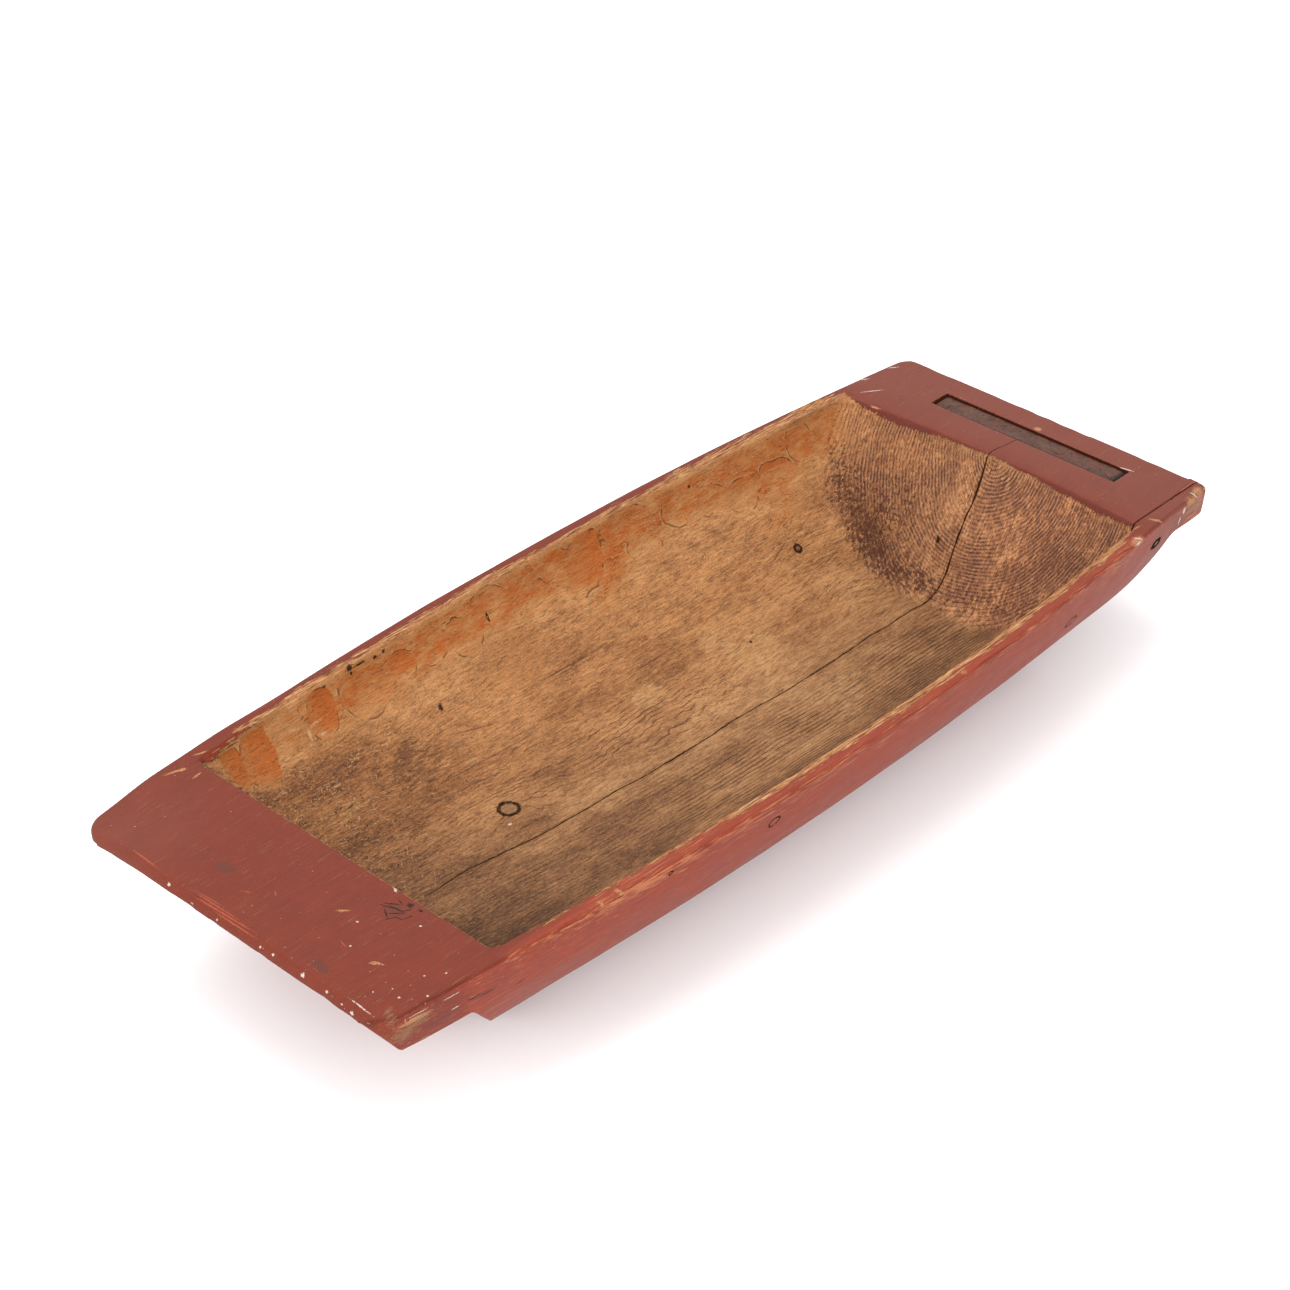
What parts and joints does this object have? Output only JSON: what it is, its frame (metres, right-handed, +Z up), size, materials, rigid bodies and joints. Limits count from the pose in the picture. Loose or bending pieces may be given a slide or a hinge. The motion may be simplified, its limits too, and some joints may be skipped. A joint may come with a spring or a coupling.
{
  "type": "dough trough",
  "caption": "Long open wooden trough hewn from half a log for kneading and proving dough, with flat end ledges and an iron strap let into the ledge at +X.",
  "frame": {"origin": "middle of the flat base that the trough rests on", "axes": "+X along the trough towards the ledge with the iron strap, +Z up out of the hollow"},
  "size_m": [0.887, 0.3566, 0.128],
  "materials": {
    "trough_body": "worn red paint outside, bare old softwood inside",
    "iron_strap": "dark and rusted",
    "strap_nails": "dark and rusted"
  },
  "bodies": {
    "root": {"trough_body": "trough_body", "iron_strap": "iron_strap", "strap_nail_1": "strap_nails", "strap_nail_2": "strap_nails", "strap_nail_3": "strap_nails", "strap_nail_4": "strap_nails"}
  },
  "joints": []
}
